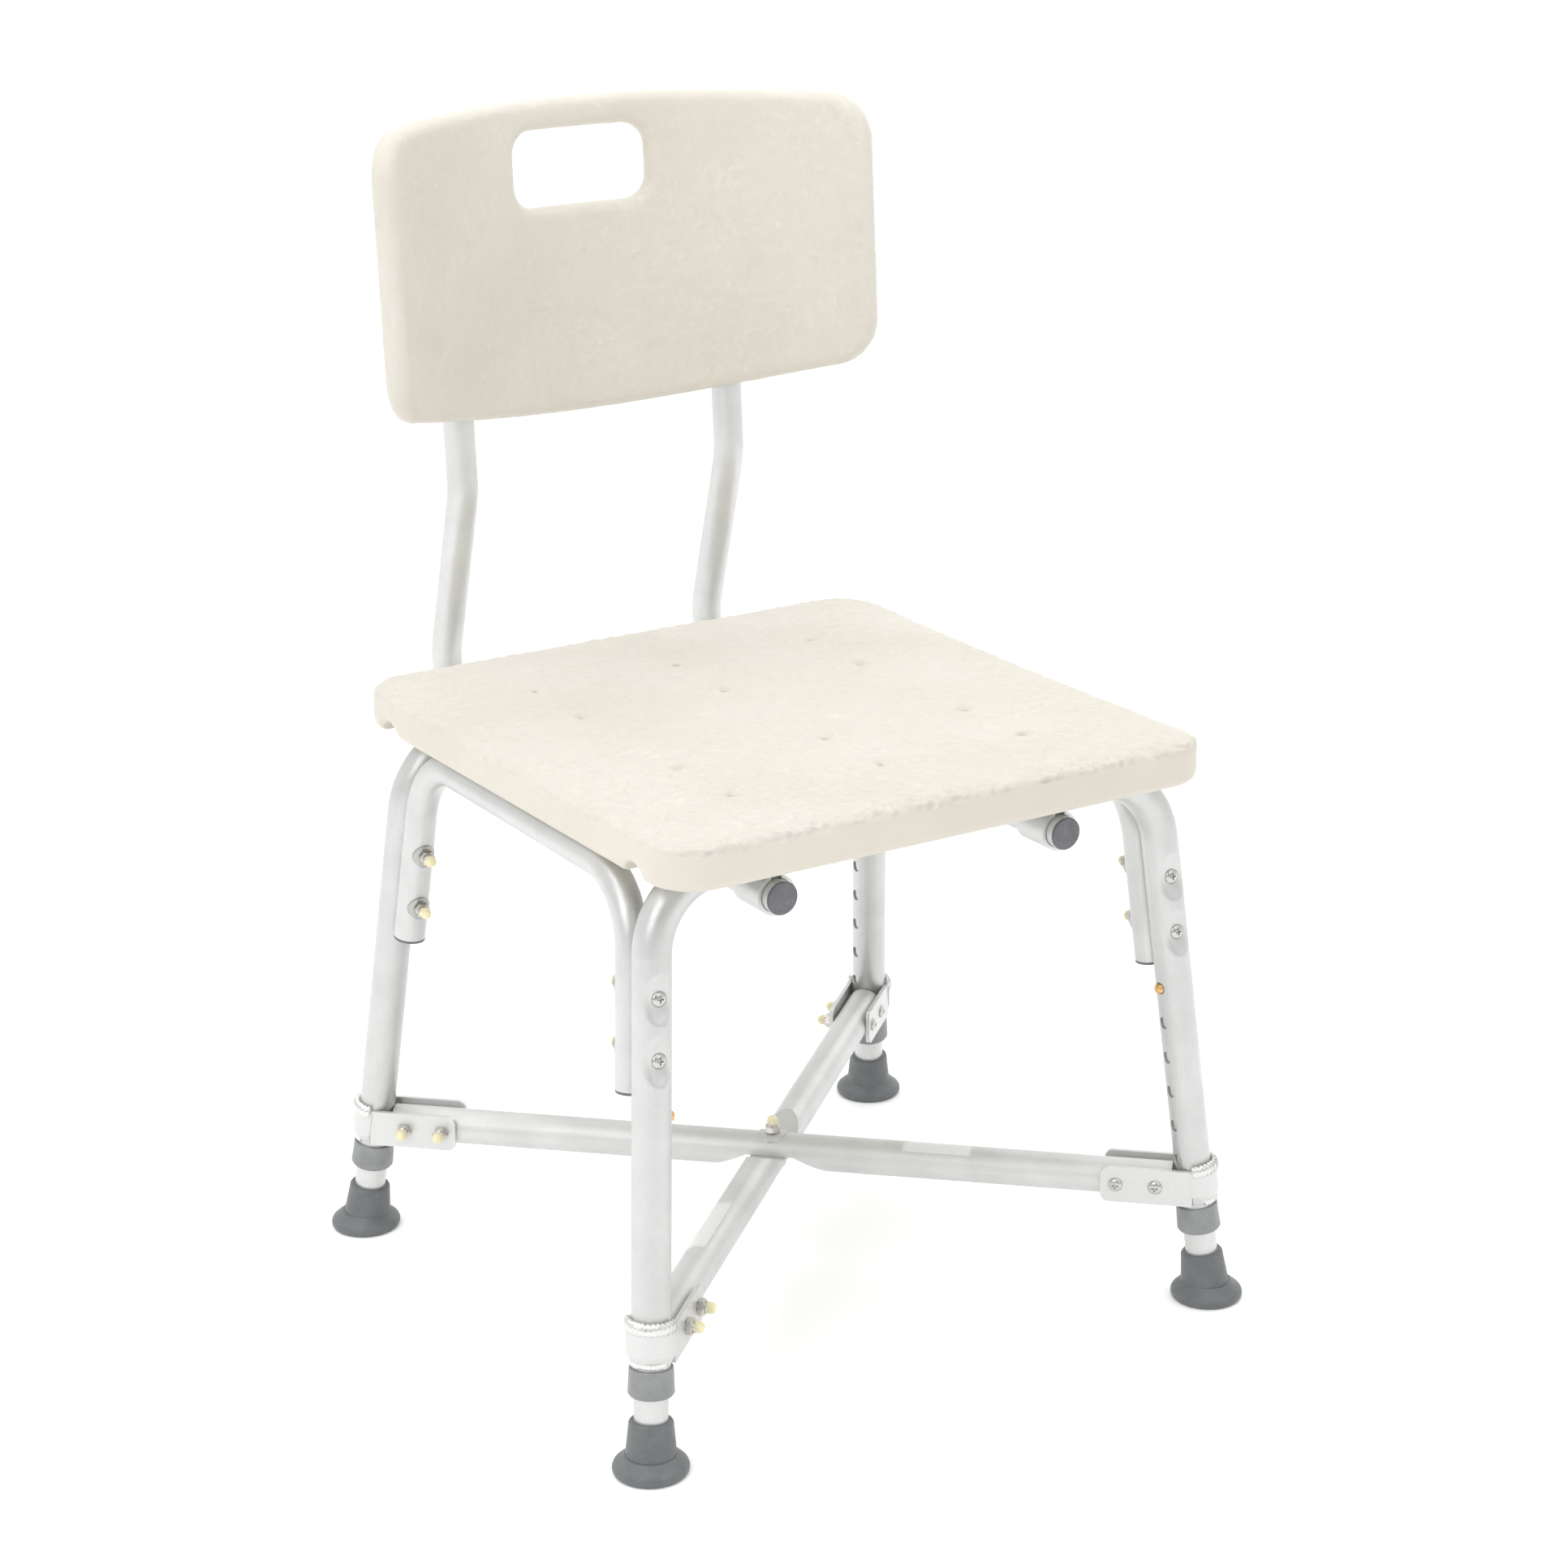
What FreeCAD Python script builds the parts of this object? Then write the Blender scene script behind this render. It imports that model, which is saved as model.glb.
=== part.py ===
import FreeCAD, Part
import math
import os

# Shower chair with a backrest on four splayed, height-adjustable legs.
# Millimetres, +Z up, the sitter faces -Y. Feet stand on Z = 0 with the legs at their shortest setting.

os.makedirs("parts", exist_ok=True)
V = FreeCAD.Vector

# Moves the whole chair so the middle of its outline stands over the origin.
ORIGIN_SHIFT = V(0, -19.9, 0)

# Tube sizes
LEG_R = 12.7
LEG_WALL = 1.3
THIN_R = 11.1
THIN_WALL = 1.2
RUN_FIT = 0.08
TOUCH = 0.05

# Legs: half spacing of the feet and how far a leg leans for each millimetre of height
FRONT_FOOT = (225.0, -212.8)
REAR_FOOT = (221.2, 212.8)
LEAN_X = 0.0805
FRONT_LEAN_Y = 0.096
REAR_LEAN_Y = 0.130
CROSS_Z = 384.5
FRONT_BEND_R = 52.0
REAR_BEND_R = 60.0
OUTER_LEG_END = 58.0

# Height adjustment
HOLE_PITCH = 25.4
HOLE_COUNT = 6
TOP_HOLE = 233.9
HOLE_R = 4.2
BUTTON_R = 3.9
EXTENSION_BOTTOM = 12.0
EXTENSION_TOP = 254.0
COLLAR_BOTTOM = 52.0
COLLAR_TOP = 71.0

# Side rails and the corner bolts, measured along the leg from its foot
RAIL_Z = 377.1
RAIL_END = 247.5
RAIL_BEND_R = 50.0
RAIL_OFFSET = LEG_R + THIN_R + TOUCH
CORNER_BOLTS = (273.5, 313.3)
DIMPLE_SEAT = 8.6
DIMPLE_R = 33.0
DIMPLE_SOFT = 6.0

# M6 fasteners
BOLT_R = 3.0
BOLT_HOLE_R = 3.3
HEAD_R = 5.0
HEAD_H = 2.5
NUT_FLATS = 10.0
NUT_HEX_H = 4.6
NUT_H = 6.0
WASHER_R = 8.2
CENTRE_WASHER_R = 9.4
WASHER_T = 1.3
CAP_R = 3.9
CAP_OUT = 6.2

# Cross brace
BRACE_Z = 86.3
BRACKET_H = 26.0
EAR_GAP = 13.0
EAR_T = 3.0
WRAP_T = 3.8
WRAP_TAPER = 7.0
EAR_LENGTH = 64.0
BRACE_END = 15.2
BRACE_BOLTS = (26.0, 53.4)
LAP_FLAT = 17.0
LAP_SLOPE = 26.0
LAP_GAP = 0.1

# Seat panel
SEAT_HALF_X = 208.3
SEAT_FRONT = -226.9
SEAT_REAR = 211.7
SEAT_BOTTOM = 388.3
SEAT_TOP = 416.5
SEAT_CORNER_R = 34.0
SEAT_TOP_ROUND = 6.0
SEAT_BOTTOM_ROUND = 6.0
SEAT_DISH = 2.8
GROOVE_R = 13.8
DRAIN_X = (-113.0, 0.0, 113.0)
DRAIN_Y = (-139.0, -71.0, 59.0, 125.0)
DRAIN_R = 2.6
DRAIN_DIMPLE_R = 10.0
DRAIN_DIMPLE_DEPTH = 2.6
SEAT_SCREW_X = (-62.0, 62.0)
SEAT_SCREW_R = 2.4
SEAT_SCREW_HOLE_R = 2.7

# Backrest
BACK_TUBE_X = 110.0
BACK_TUBE_Z = 360.0
BACK_TUBE_FRONT = -192.0
BACK_J_R = 44.0
BACK_KNEE_R = 55.0
BACK_HEEL = (281.5, 360.0)
BACK_KNEE = (230.4, 533.8)
RECLINE = 0.0596
BACK_TUBE_TOP = 700.0
BACK_R = 250.9
BACK_HALF_ANGLE = 50.4
BACK_T = 17.8
BACK_H = 189.5
BACK_CROWN = 9.1
BACK_BOW = 24.5
BACK_CORNER_R = 34.0
BACK_ROUND = 8.0
BACK_Y = 252.7
BACK_Z = 696.9
BOSS_R = 15.5
BOSS_LENGTH = 96.0
BOSS_TOP = 6.0
HANDLE_W = 108.0
HANDLE_H = 54.0
HANDLE_Z = 752.0
HANDLE_CORNER_R = 17.0
BACK_SCREW_R = 2.0
BACK_SCREWS = (28.0, 82.0)

# Saddles for the backrest tubes
SADDLE_T = 2.3
SADDLE_NECK = 7.6
SADDLE_LENGTH = 30.0
SADDLE_SHIFT = 5.0
SADDLE_FIT = 0.35


def export(name, *shapes):
    shape = shapes[0] if len(shapes) == 1 else Part.makeCompound(list(shapes))
    shape.translate(ORIGIN_SHIFT)
    shape.exportStep(f"parts/{name}.step")


def unit(v):
    return V(v).multiply(1.0 / v.Length)


def across(v, axis):
    """The part of v square to axis, as a unit vector."""
    return unit(v - axis * v.dot(axis))


def cylinder(start, direction, radius, length):
    return Part.makeCylinder(radius, length, start, direction)


def cone(start, direction, r0, r1, length):
    return Part.makeCone(r0, r1, length, start, direction)


def place(shape, origin, z_dir, x_dir):
    """Moves a shape built at the origin so its Z and X lie along the given directions."""
    z = unit(z_dir)
    x = across(x_dir, z)
    moved = shape.copy()
    moved.Placement = FreeCAD.Placement(origin, FreeCAD.Rotation(x, z.cross(x), z, "ZXY"))
    return moved


def rounded_path(points, radii):
    edges = []
    start = points[0]
    for i, radius in enumerate(radii, 1):
        corner = points[i]
        back = unit(points[i - 1] - corner)
        ahead = unit(points[i + 1] - corner)
        half = back.getAngle(ahead) / 2
        bisector = unit(back + ahead)
        p0 = corner + back * (radius / math.tan(half))
        p1 = corner + ahead * (radius / math.tan(half))
        middle = corner + bisector * (radius / math.sin(half) - radius)
        edges += [Part.makeLine(start, p0), Part.Arc(p0, middle, p1).toShape()]
        start = p1
    edges.append(Part.makeLine(start, points[-1]))
    return Part.Wire(edges)


def sweep(wire, radius):
    first = wire.Edges[0]
    tangent = first.tangentAt(first.FirstParameter)
    circle = Part.Wire(Part.makeCircle(radius, first.valueAt(first.FirstParameter), tangent))
    return wire.makePipeShell([circle], True, False)


def tube_pair(points, radii, radius, wall):
    path = rounded_path(points, radii)
    return sweep(path, radius), sweep(path, radius - wall)


def prism(points, direction):
    return Part.Face(Part.makePolygon(points + points[:1])).extrude(direction)


def revolve(profile, origin=V(0, 0, 0), axis=V(0, 0, 1), curve=()):
    """Turns (radius, height) points about the local Z axis and stands the result on origin.

    The optional curve runs smoothly from the profile's last point through its own points to the first.
    """
    points = [V(r, 0, h) for r, h in profile]
    if curve:
        spline = Part.BSplineCurve()
        spline.interpolate([points[-1]] + [V(r, 0, h) for r, h in curve] + points[:1])
        wire = Part.Wire(Part.makePolygon(points).Edges + [spline.toShape()])
    else:
        wire = Part.makePolygon(points + points[:1])
    side = V(1, 0, 0) if abs(axis.x) < 0.9 else V(0, 1, 0)
    return place(Part.Face(wire).revolve(V(0, 0, 0), V(0, 0, 1), 360), origin, axis, side)


def rounded_rectangle(width, height, corner):
    """A face in the XZ plane, centred on the origin."""
    w, h, k = width / 2, height / 2, corner * (1 - math.sqrt(0.5))
    edges = []
    for x0, z0, x1, z1, x2, z2, mx, mz in (
        (-w + corner, -h, w - corner, -h, w, -h + corner, w - k, -h + k),
        (w, -h + corner, w, h - corner, w - corner, h, w - k, h - k),
        (w - corner, h, -w + corner, h, -w, h - corner, -w + k, h - k),
        (-w, h - corner, -w, -h + corner, -w + corner, -h, -w + k, -h + k),
    ):
        edges.append(Part.makeLine(V(x0, 0, z0), V(x1, 0, z1)))
        edges.append(Part.Arc(V(x1, 0, z1), V(mx, 0, mz), V(x2, 0, z2)).toShape())
    return Part.Face(Part.Wire(edges))


class Leg:
    """One leg: its foot, the unit vector up its axis, and the inward and outward sides of the tube."""

    def __init__(self, name, side, front):
        half_x, y = FRONT_FOOT if front else REAR_FOOT
        lean_y = FRONT_LEAN_Y if front else -REAR_LEAN_Y
        self.name = name
        self.front = front
        self.foot = V(side * half_x, y, 0)
        self.slope = V(-side * LEAN_X, lean_y, 1)
        self.axis = unit(self.slope)
        self.inward = across(V(-side, 0, 0), self.axis)
        self.outward = across(V(0, -1 if front else 1, 0), self.axis)

    def at(self, distance):
        return self.foot + self.axis * distance

    def at_height(self, z):
        return self.foot + self.slope * z

    def rail_at(self, distance):
        return self.at(distance) - self.outward * RAIL_OFFSET

    def rail_corner(self):
        low = self.rail_at(0)
        return low + self.slope * (RAIL_Z - low.z)


LEGS = [
    Leg("front_left", -1, True),
    Leg("front_right", 1, True),
    Leg("rear_left", -1, False),
    Leg("rear_right", 1, False),
]
FRONT_LEGS = LEGS[:2]
REAR_LEGS = LEGS[2:]
FRONT_CROSS_Y = FRONT_LEGS[0].at_height(CROSS_Z).y
REAR_CROSS_Y = REAR_LEGS[0].at_height(CROSS_Z).y


# Fasteners, built with the underside of the head on Z = 0 and the shaft down -Z
def pan_head_bolt(length):
    dome = [(1.6, HEAD_H - 0.1), (3.2, HEAD_H - 0.45), (4.4, 1.4)]
    head = revolve([(HEAD_R, 0.6), (HEAD_R, 0), (0, 0), (0, HEAD_H)], curve=dome)
    body = head.fuse(Part.makeCylinder(BOLT_R, length, V(0, 0, -length)))
    slot = Part.makeBox(4.6, 1.0, 2.0, V(-2.3, -0.5, HEAD_H - 1.7))
    return body.cut(slot).cut(slot.rotated(V(0, 0, 0), V(0, 0, 1), 90))


def lock_nut():
    """A hexagon with chamfered corners and a round collar on its outer side."""
    r = NUT_FLATS / math.sqrt(3)
    corners = [V(r * math.cos(math.radians(a)), r * math.sin(math.radians(a)), 0) for a in range(0, 360, 60)]
    top = NUT_HEX_H
    chamfered = revolve([(0, 0), (5.0, 0), (5.8, 0.6), (5.8, top - 0.7), (5.0, top), (0, top)])
    collar = revolve([(0, top - 0.5), (4.5, top - 0.5), (4.5, NUT_H - 0.5), (4.0, NUT_H), (0, NUT_H)])
    bore = Part.makeCylinder(BOLT_R + 0.02, NUT_H)
    return prism(corners, V(0, 0, NUT_H)).common(chamfered).fuse(collar).cut(bore)


def thread_cap(inner_depth):
    dome = [(2.0, CAP_OUT - 0.6), (3.4, CAP_OUT - 2.2)]
    shell = revolve([(CAP_R, CAP_OUT - 3.9), (CAP_R, 0), (0, 0), (0, CAP_OUT)], curve=dome)
    return shell.cut(Part.makeCylinder(BOLT_R + 0.02, inner_depth))


def saddle_washer(centre, tube_axis, direction, tube_r, radius):
    """A washer curved over a tube, on the side that direction points to."""
    start = centre - tube_axis * 20
    inner_r = tube_r + TOUCH
    shell = cylinder(start, tube_axis, inner_r + WASHER_T, 40).cut(cylinder(start, tube_axis, inner_r, 40))
    blank = shell.common(cylinder(centre, direction, radius, 30))
    return blank.cut(cylinder(centre, direction, BOLT_R + 0.1, 30))


def through_bolt(seat, direction, x_dir, grip):
    """Bolt from seat along direction, its nut grip away, and the cap over the bolt's end."""
    outward = direction * -1
    end = NUT_H + 3.0
    bolt = place(pan_head_bolt(grip + end), seat, outward, x_dir)
    nut = place(lock_nut(), seat + direction * grip, direction, x_dir)
    cap = place(thread_cap(3.3), seat + direction * (grip + NUT_H), direction, x_dir)
    return bolt, nut, cap


def is_rim(edge, centre, outward):
    """Whether an edge runs round the dimple pressed into the tube beside centre."""
    offset = edge.CenterOfMass - centre
    return edge.Closed and 24 < edge.Length < 100 and offset.dot(outward) > 9 and offset.Length < 14


# Front and rear leg frames
def leg_frame(legs, bend_r):
    left, right = legs
    points = [left.at(OUTER_LEG_END), left.at_height(CROSS_Z), right.at_height(CROSS_Z), right.at(OUTER_LEG_END)]
    outer, inner = tube_pair(points, [bend_r, bend_r], LEG_R, LEG_WALL)
    holes = []
    for leg in legs:
        for distance in CORNER_BOLTS:
            centre = leg.at(distance)
            ball = centre + leg.outward * (DIMPLE_SEAT + DIMPLE_R)
            outer = outer.cut(Part.makeSphere(DIMPLE_R, ball))
            inner = inner.cut(Part.makeSphere(DIMPLE_R + LEG_WALL, ball))
            outer = outer.makeFillet(DIMPLE_SOFT, [e for e in outer.Edges if is_rim(e, centre, leg.outward)])
            outer = outer.cut(cylinder(centre + leg.outward * DIMPLE_SEAT, leg.outward, HEAD_R + 0.3, 8))
            holes.append(cylinder(centre - leg.outward * 16, leg.outward, BOLT_HOLE_R, 30))
        for i in range(HOLE_COUNT):
            holes.append(cylinder(leg.at(TOP_HOLE - i * HOLE_PITCH), leg.inward, HOLE_R, 16))
    y = left.at_height(CROSS_Z).y
    for x in SEAT_SCREW_X:
        holes.append(Part.makeCylinder(SEAT_SCREW_HOLE_R, 40, V(x, y, CROSS_Z - 20)))
    return outer.cut(inner).cut(Part.makeCompound(holes))


export("front_leg_frame", leg_frame(FRONT_LEGS, FRONT_BEND_R))
export("rear_leg_frame", leg_frame(REAR_LEGS, REAR_BEND_R))

# Side rails and their end plugs
plugs = []
for name, front, rear in (("left", LEGS[0], LEGS[2]), ("right", LEGS[1], LEGS[3])):
    points = [front.rail_at(RAIL_END), front.rail_corner(), rear.rail_corner(), rear.rail_at(RAIL_END)]
    outer, inner = tube_pair(points, [RAIL_BEND_R, RAIL_BEND_R], THIN_R, THIN_WALL)
    rail = outer.cut(inner)
    for leg in (front, rear):
        for distance in CORNER_BOLTS:
            rail = rail.cut(cylinder(leg.rail_at(distance) - leg.outward * 16, leg.outward, BOLT_HOLE_R, 32))
        flange = cylinder(leg.rail_at(RAIL_END), leg.axis * -1, THIN_R, 1.8)
        stem = cylinder(leg.rail_at(RAIL_END), leg.axis, THIN_R - THIN_WALL, 12)
        plugs.append(flange.fuse(stem))
    export(f"side_rail_{name}", rail)
export("side_rail_plugs", *plugs)

# Corner bolts through leg and rail
bolts, washers, nuts, caps = [], [], [], []
for leg in LEGS:
    for distance in CORNER_BOLTS:
        grip = DIMPLE_SEAT + RAIL_OFFSET + THIN_R + TOUCH + WASHER_T
        inward = leg.outward * -1
        bolt, nut, cap = through_bolt(leg.at(distance) + leg.outward * DIMPLE_SEAT, inward, leg.inward, grip)
        washers.append(saddle_washer(leg.rail_at(distance), leg.axis, inward, THIN_R, WASHER_R))
        bolts.append(bolt)
        nuts.append(nut)
        caps.append(cap)
export("frame_bolts", *bolts)
export("frame_washers", *washers)
export("frame_nuts", *nuts)
export("frame_thread_caps", *caps)


# Cross brace: two tubes pressed to half height where they cross
def lap_wedge(centre, along, side, down, offset):
    """The space a pressed tube gives up: flat over the crossing, sloping out to the full tube."""
    half_w = 20
    rise = LEG_R + 2
    slope = LAP_SLOPE * rise / LEG_R
    base = centre + down * offset - side * half_w
    profile = [
        base - along * LAP_FLAT,
        base + along * LAP_FLAT,
        base + along * (LAP_FLAT + slope) + down * rise,
        base - along * (LAP_FLAT + slope) + down * rise,
    ]
    return prism(profile, side * (2 * half_w))


def brace_line(legs):
    """The brace's axis: its start on the first leg, its direction, and the point over the chair's centre line."""
    a, b = (leg.at_height(BRACE_Z) for leg in legs)
    along = unit(b - a)
    return a, b, along, a - along * (a.x / along.x)


def brace(legs, name, upper):
    near, far = legs
    a, b, along, crossing = brace_line(legs)
    side = V(0, 0, 1).cross(along)
    path = Part.Wire(Part.makeLine(a + along * BRACE_END, b - along * BRACE_END))
    down = V(0, 0, -1 if upper else 1)
    outer = sweep(path, LEG_R).cut(lap_wedge(crossing, along, side, down, -LAP_GAP))
    inner = sweep(path, LEG_R - LEG_WALL).cut(lap_wedge(crossing, along, side, down, -LAP_GAP - LEG_WALL))
    tube = outer.cut(inner)
    parts = [[], [], []]
    for leg, inward in ((near, along), (far, along * -1)):
        base = leg.at_height(BRACE_Z)
        bolt_side = inward.cross(V(0, 0, 1))
        for distance in BRACE_BOLTS:
            middle = base + inward * distance
            tube = tube.cut(cylinder(middle - bolt_side * 20, bolt_side, BOLT_HOLE_R, 40))
            seat = middle - bolt_side * (EAR_GAP + EAR_T + TOUCH)
            fastener = through_bolt(seat, bolt_side, inward, 2 * (EAR_GAP + EAR_T + TOUCH))
            for group, piece in zip(parts, fastener):
                group.append(piece)
        export(f"brace_bracket_{leg.name}", bracket(leg, base, inward))
    tube = tube.cut(cylinder(crossing - V(0, 0, 20), V(0, 0, 1), BOLT_HOLE_R, 40))
    export(name, tube)
    return parts


def bracket(leg, base, inward):
    side = V(0, 0, 1).cross(inward)
    outward = across(inward * -1, leg.axis)
    start = base - leg.axis * (BRACKET_H / 2)
    bare, full = LEG_R + TOUCH + 0.4, LEG_R + TOUCH + WRAP_T
    ring = revolve([(0, 0), (bare, 0), (full, WRAP_TAPER), (full, BRACKET_H - 1.5), (full - 1.5, BRACKET_H),
                    (0, BRACKET_H)], start, leg.axis)
    half = Part.makeBox(40, 60, 60, V(-0.5, -30, -15))
    body = ring.common(place(half, start, leg.axis, outward))
    ear = rounded_rectangle(EAR_LENGTH + 8, BRACKET_H, 6).extrude(V(0, EAR_T, 0))
    ear = ear.common(Part.makeBox(EAR_LENGTH, 20, 60, V(-EAR_LENGTH / 2 + 4, -10, -30)))
    for offset in (EAR_GAP, -EAR_GAP - EAR_T):
        centre = base + inward * (EAR_LENGTH / 2 - 4)
        body = body.fuse(place(ear, centre + side * offset, V(0, 0, 1), inward))
    body = body.cut(cylinder(base - leg.axis * 30, leg.axis, LEG_R + TOUCH, 60))
    for distance in BRACE_BOLTS:
        body = body.cut(cylinder(base + inward * distance - side * 30, side, BOLT_HOLE_R, 60))
    return body.removeSplitter()


UPPER_ENDS = (LEGS[2], LEGS[1])
LOWER_ENDS = (LEGS[0], LEGS[3])
upper_parts = brace(UPPER_ENDS, "brace_tube_upper", True)
lower_parts = brace(LOWER_ENDS, "brace_tube_lower", False)
for node, upper, lower in zip(("brace_bolts", "brace_nuts", "brace_thread_caps"), upper_parts, lower_parts):
    export(node, *upper, *lower)

# Bolt through the crossing, its nut on top
centre = brace_line(UPPER_ENDS)[3]
up = V(0, 0, 1)
half_grip = LEG_R + TOUCH + WASHER_T
bolt, nut, cap = through_bolt(centre - up * half_grip, up, V(1, 0, 0), 2 * half_grip)
export("centre_bolt", bolt)
export("centre_nut", nut)
export("centre_thread_cap", cap)
washers = []
for ends, direction in ((UPPER_ENDS, up), (LOWER_ENDS, up * -1)):
    along = brace_line(ends)[2]
    washers.append(saddle_washer(centre, along, direction, LEG_R, CENTRE_WASHER_R))
export("centre_washers", *washers)


# Snap button with a captive flange, its dome standing out along direction
def snap_button(centre, direction, side):
    body = revolve([(0, 6.0), (5.0, 6.0), (5.0, 7.6), (BUTTON_R, 7.6), (BUTTON_R, 13.2), (3.3, 14.8),
                    (1.9, 15.8), (0, 16.0)])
    return place(body, centre, direction, side)


def button_spring(centre, direction, along):
    """V spring: one arm behind the button, the other on the far wall of the tube."""
    t, width, drop = 0.6, 7.0, 30.0
    side = direction.cross(along)
    base = centre - side * (width / 2)
    profile = [(5.9, 6), (5.9 - t, 6), (-1.2, -drop + 1.2), (-8.6 + t, 6), (-8.6, 6), (-2.2, -drop), (-0.2, -drop)]
    points = [base + direction * d + along * h for d, h in profile]
    return prism(points, side * width)


# Leg ends: collar on the outer leg, extension tube, tip, button and spring
collars = []
for leg in LEGS:
    collar = revolve([(0, 0), (14.1, 0), (15.2, 1.8), (14.4, COLLAR_TOP - COLLAR_BOTTOM - 0.6),
                      (13.9, COLLAR_TOP - COLLAR_BOTTOM), (0, COLLAR_TOP - COLLAR_BOTTOM)],
                     leg.at(COLLAR_BOTTOM), leg.axis)
    collar = collar.cut(cylinder(leg.at(OUTER_LEG_END), leg.axis, LEG_R + 0.01, 30))
    collars.append(collar.cut(cylinder(leg.at(COLLAR_BOTTOM - 1), leg.axis, THIN_R + RUN_FIT, 30)))

    length = EXTENSION_TOP - EXTENSION_BOTTOM
    tube = cylinder(leg.at(EXTENSION_BOTTOM), leg.axis, THIN_R, length)
    tube = tube.cut(cylinder(leg.at(EXTENSION_BOTTOM), leg.axis, THIN_R - THIN_WALL, length))
    tube = tube.cut(cylinder(leg.at(TOP_HOLE), leg.inward, HOLE_R, 20))
    export(f"leg_extension_{leg.name}", tube)

    barrel = cone(leg.at(4), leg.axis, 17.4, 14.5, 29.5).fuse(cone(leg.at(33.5), leg.axis, 14.5, 13.5, 1.3))
    rim = [(23.9, 6.6), (24.8, 5.0), (25.0, 3.4), (24.4, 1.4)]
    flange = revolve([(23.0, 0), (0, 0), (0, 12.6), (16.8, 12.6), (21.8, 8.4)], leg.foot, curve=rim)
    tip = flange.fuse(barrel.cut(Part.makeBox(80, 80, 20, leg.foot + V(-40, -40, -20))))
    tip = tip.cut(cylinder(leg.at(EXTENSION_BOTTOM), leg.axis, THIN_R + 0.01, 60))
    export(f"leg_tip_{leg.name}", tip)

    export(f"leg_button_{leg.name}", snap_button(leg.at(TOP_HOLE), leg.inward, leg.axis))
    export(f"leg_button_spring_{leg.name}", button_spring(leg.at(TOP_HOLE), leg.inward, leg.axis))
export("leg_collars", *collars)


# Seat panel with dished top, drain holes and grooves for the two cross tubes
def seat_panel():
    width, depth = 2 * SEAT_HALF_X, SEAT_REAR - SEAT_FRONT
    middle_y = (SEAT_REAR + SEAT_FRONT) / 2
    outline = rounded_rectangle(width, depth, SEAT_CORNER_R)
    outline.rotate(V(0, 0, 0), V(1, 0, 0), -90)
    outline.translate(V(0, middle_y, SEAT_BOTTOM))
    panel = outline.extrude(V(0, 0, SEAT_TOP - SEAT_BOTTOM))
    dish_r = (depth / 2) ** 2 / (2 * SEAT_DISH)
    dish = Part.makeCylinder(dish_r, 600, V(-300, middle_y, SEAT_TOP - SEAT_DISH + dish_r), V(1, 0, 0))
    panel = panel.cut(dish)
    low = [e for e in panel.Edges if e.BoundBox.ZMax < SEAT_BOTTOM + 0.1]
    panel = panel.makeFillet(SEAT_BOTTOM_ROUND, low)
    high = [e for e in panel.Edges if e.BoundBox.ZMin > SEAT_TOP - SEAT_DISH - 0.5]
    panel = panel.makeFillet(SEAT_TOP_ROUND, high)
    for y in (FRONT_CROSS_Y, REAR_CROSS_Y):
        panel = panel.cut(cylinder(V(-300, y, CROSS_Z), V(1, 0, 0), GROOVE_R, 600))
        for x in SEAT_SCREW_X:
            panel = panel.cut(Part.makeCylinder(SEAT_SCREW_R, 22, V(x, y, CROSS_Z)))
    for x in DRAIN_X:
        for y in DRAIN_Y:
            surface = SEAT_TOP - SEAT_DISH + (y - middle_y) ** 2 / (2 * dish_r)
            bowl = V(x, y, surface + DRAIN_DIMPLE_R - DRAIN_DIMPLE_DEPTH)
            panel = panel.cut(Part.makeCylinder(DRAIN_R, 60, V(x, y, SEAT_BOTTOM - 10)))
            panel = panel.cut(Part.makeSphere(DRAIN_DIMPLE_R, bowl))
    return panel


export("seat_panel", seat_panel())
screws = []
for y in (FRONT_CROSS_Y, REAR_CROSS_Y):
    for x in SEAT_SCREW_X:
        head = revolve([(0, 0), (4.6, 0), (4.6, -0.9), (3.4, -2.2), (0, -2.6)])
        screw = head.fuse(Part.makeCylinder(SEAT_SCREW_R, 34.0))
        screw = screw.cut(Part.makeBox(5.0, 1.0, 1.6, V(-2.5, -0.5, -2.7)))
        screw.translate(V(x, y, CROSS_Z - LEG_R))
        screws.append(screw)
export("seat_screws", *screws)

# Backrest tubes: forward run under the seat, J bend behind it, crank, and reclined top
lean = V(0, math.sin(RECLINE), math.cos(RECLINE))
behind = V(0, math.cos(RECLINE), -math.sin(RECLINE))
knee = V(0, *BACK_KNEE)
top = knee + lean * ((BACK_TUBE_TOP - knee.z) / lean.z)
front_plugs = []
for name, x in (("left", -BACK_TUBE_X), ("right", BACK_TUBE_X)):
    shift = V(x, 0, 0)
    points = [V(x, BACK_TUBE_FRONT, BACK_TUBE_Z), V(x, *BACK_HEEL), knee + shift, top + shift]
    outer, inner = tube_pair(points, [BACK_J_R, BACK_KNEE_R], THIN_R, THIN_WALL)
    button_at = V(x, REAR_CROSS_Y, BACK_TUBE_Z)
    tube = outer.cut(inner).cut(cylinder(button_at, V(0, 0, -1), HOLE_R, 20))
    for distance in BACK_SCREWS:
        tube = tube.cut(cylinder(top + shift - lean * distance - behind * 30, behind, BACK_SCREW_R + 0.3, 60))
    export(f"backrest_tube_{name}", tube)
    export(f"backrest_button_{name}", snap_button(button_at, V(0, 0, -1), V(0, 1, 0)))
    export(f"backrest_button_spring_{name}", button_spring(button_at, V(0, 0, -1), V(0, 1, 0)))
    plug = revolve([(0, -12), (THIN_R - THIN_WALL, -12), (THIN_R - THIN_WALL, 0), (THIN_R, 0), (THIN_R, 1.1),
                    (THIN_R - 0.8, 1.8), (0, 1.8)], points[0], V(0, -1, 0))
    front_plugs.append(plug)
export("backrest_tube_plugs", *front_plugs)


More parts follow.
